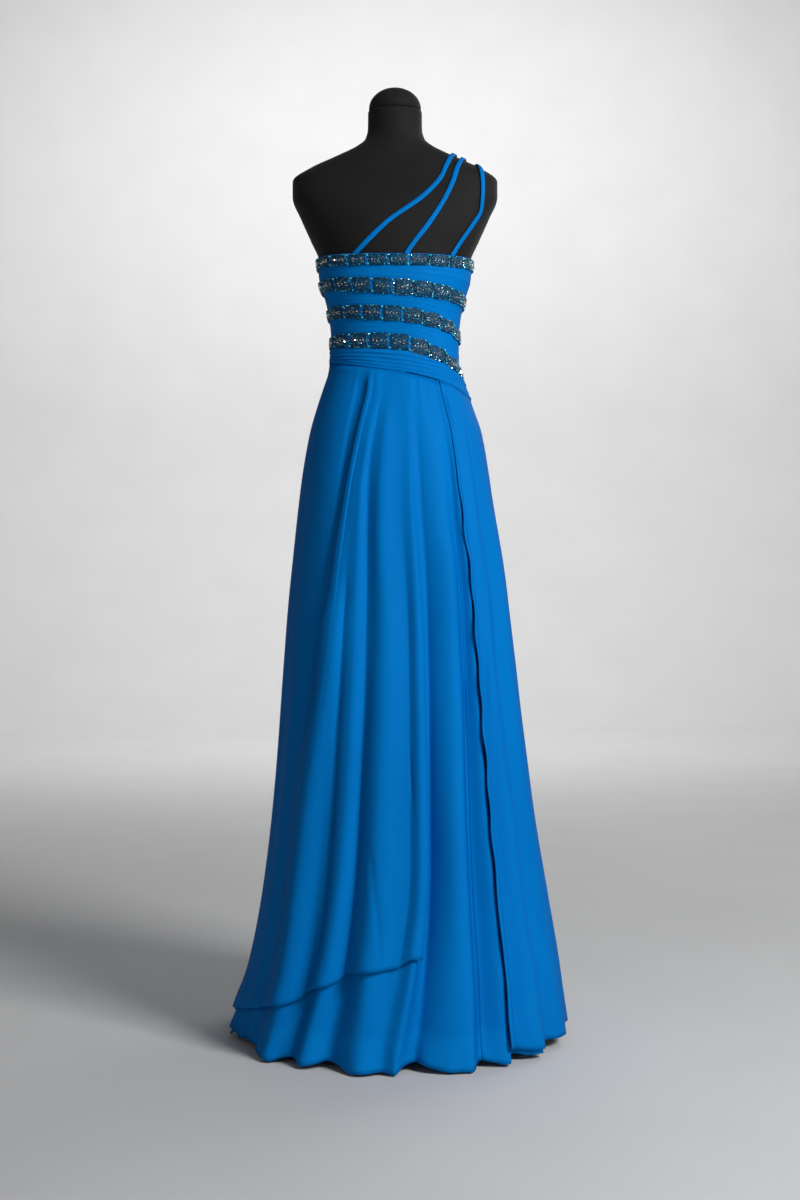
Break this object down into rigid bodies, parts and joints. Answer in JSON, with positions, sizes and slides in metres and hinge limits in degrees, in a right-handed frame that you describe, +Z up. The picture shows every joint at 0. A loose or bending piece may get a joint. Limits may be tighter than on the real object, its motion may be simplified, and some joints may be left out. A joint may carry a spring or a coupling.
{
  "type": "floor-length prom dress on a limbless dress form",
  "caption": "Floor-length gown with three shoulder straps, beaded bodice trims and wrapped skirt overlays, on a standing limbless dress form.",
  "frame": {"origin": "middle of the stand's underside, on the floor", "axes": "+Z up; -Y is the back of the gown; +X is the wearer's right, the side with the straps"},
  "size_m": [0.5861, 0.5816, 1.6458],
  "materials": {
    "azure_chiffon": "soft sheer chiffon, azure blue",
    "pleated_chiffon": "finely pleated chiffon over a lining",
    "beaded_trim": "net trim covered with silver and aqua beads",
    "black_jersey": "matt black jersey over the form",
    "black_metal": "satin black paint"
  },
  "bodies": {
    "root": {"bodice_back": "pleated_chiffon", "bodice_front": "pleated_chiffon", "beaded_band_1": "beaded_trim", "beaded_band_2": "beaded_trim", "beaded_band_3": "beaded_trim", "beaded_band_4": "beaded_trim", "sash": "pleated_chiffon", "skirt_side_left_back": "azure_chiffon", "skirt_back_left": "azure_chiffon", "skirt_back_middle": "azure_chiffon", "skirt_back_right": "azure_chiffon", "skirt_front_right": "azure_chiffon", "skirt_front_middle_right": "azure_chiffon", "skirt_front_middle_left": "azure_chiffon", "skirt_front_left": "azure_chiffon", "skirt_left_front": "azure_chiffon", "skirt_side_left_front": "azure_chiffon", "overlay_left_front": "azure_chiffon", "overlay_left_back": "azure_chiffon", "overlay_right_back": "azure_chiffon", "overlay_right_front": "azure_chiffon", "strap_1": "pleated_chiffon", "strap_2": "pleated_chiffon", "strap_3": "pleated_chiffon", "form_torso": "black_jersey", "form_neck_cap": "black_jersey", "form_pole": "black_metal", "form_collar": "black_metal", "form_base": "black_metal"}
  },
  "joints": []
}
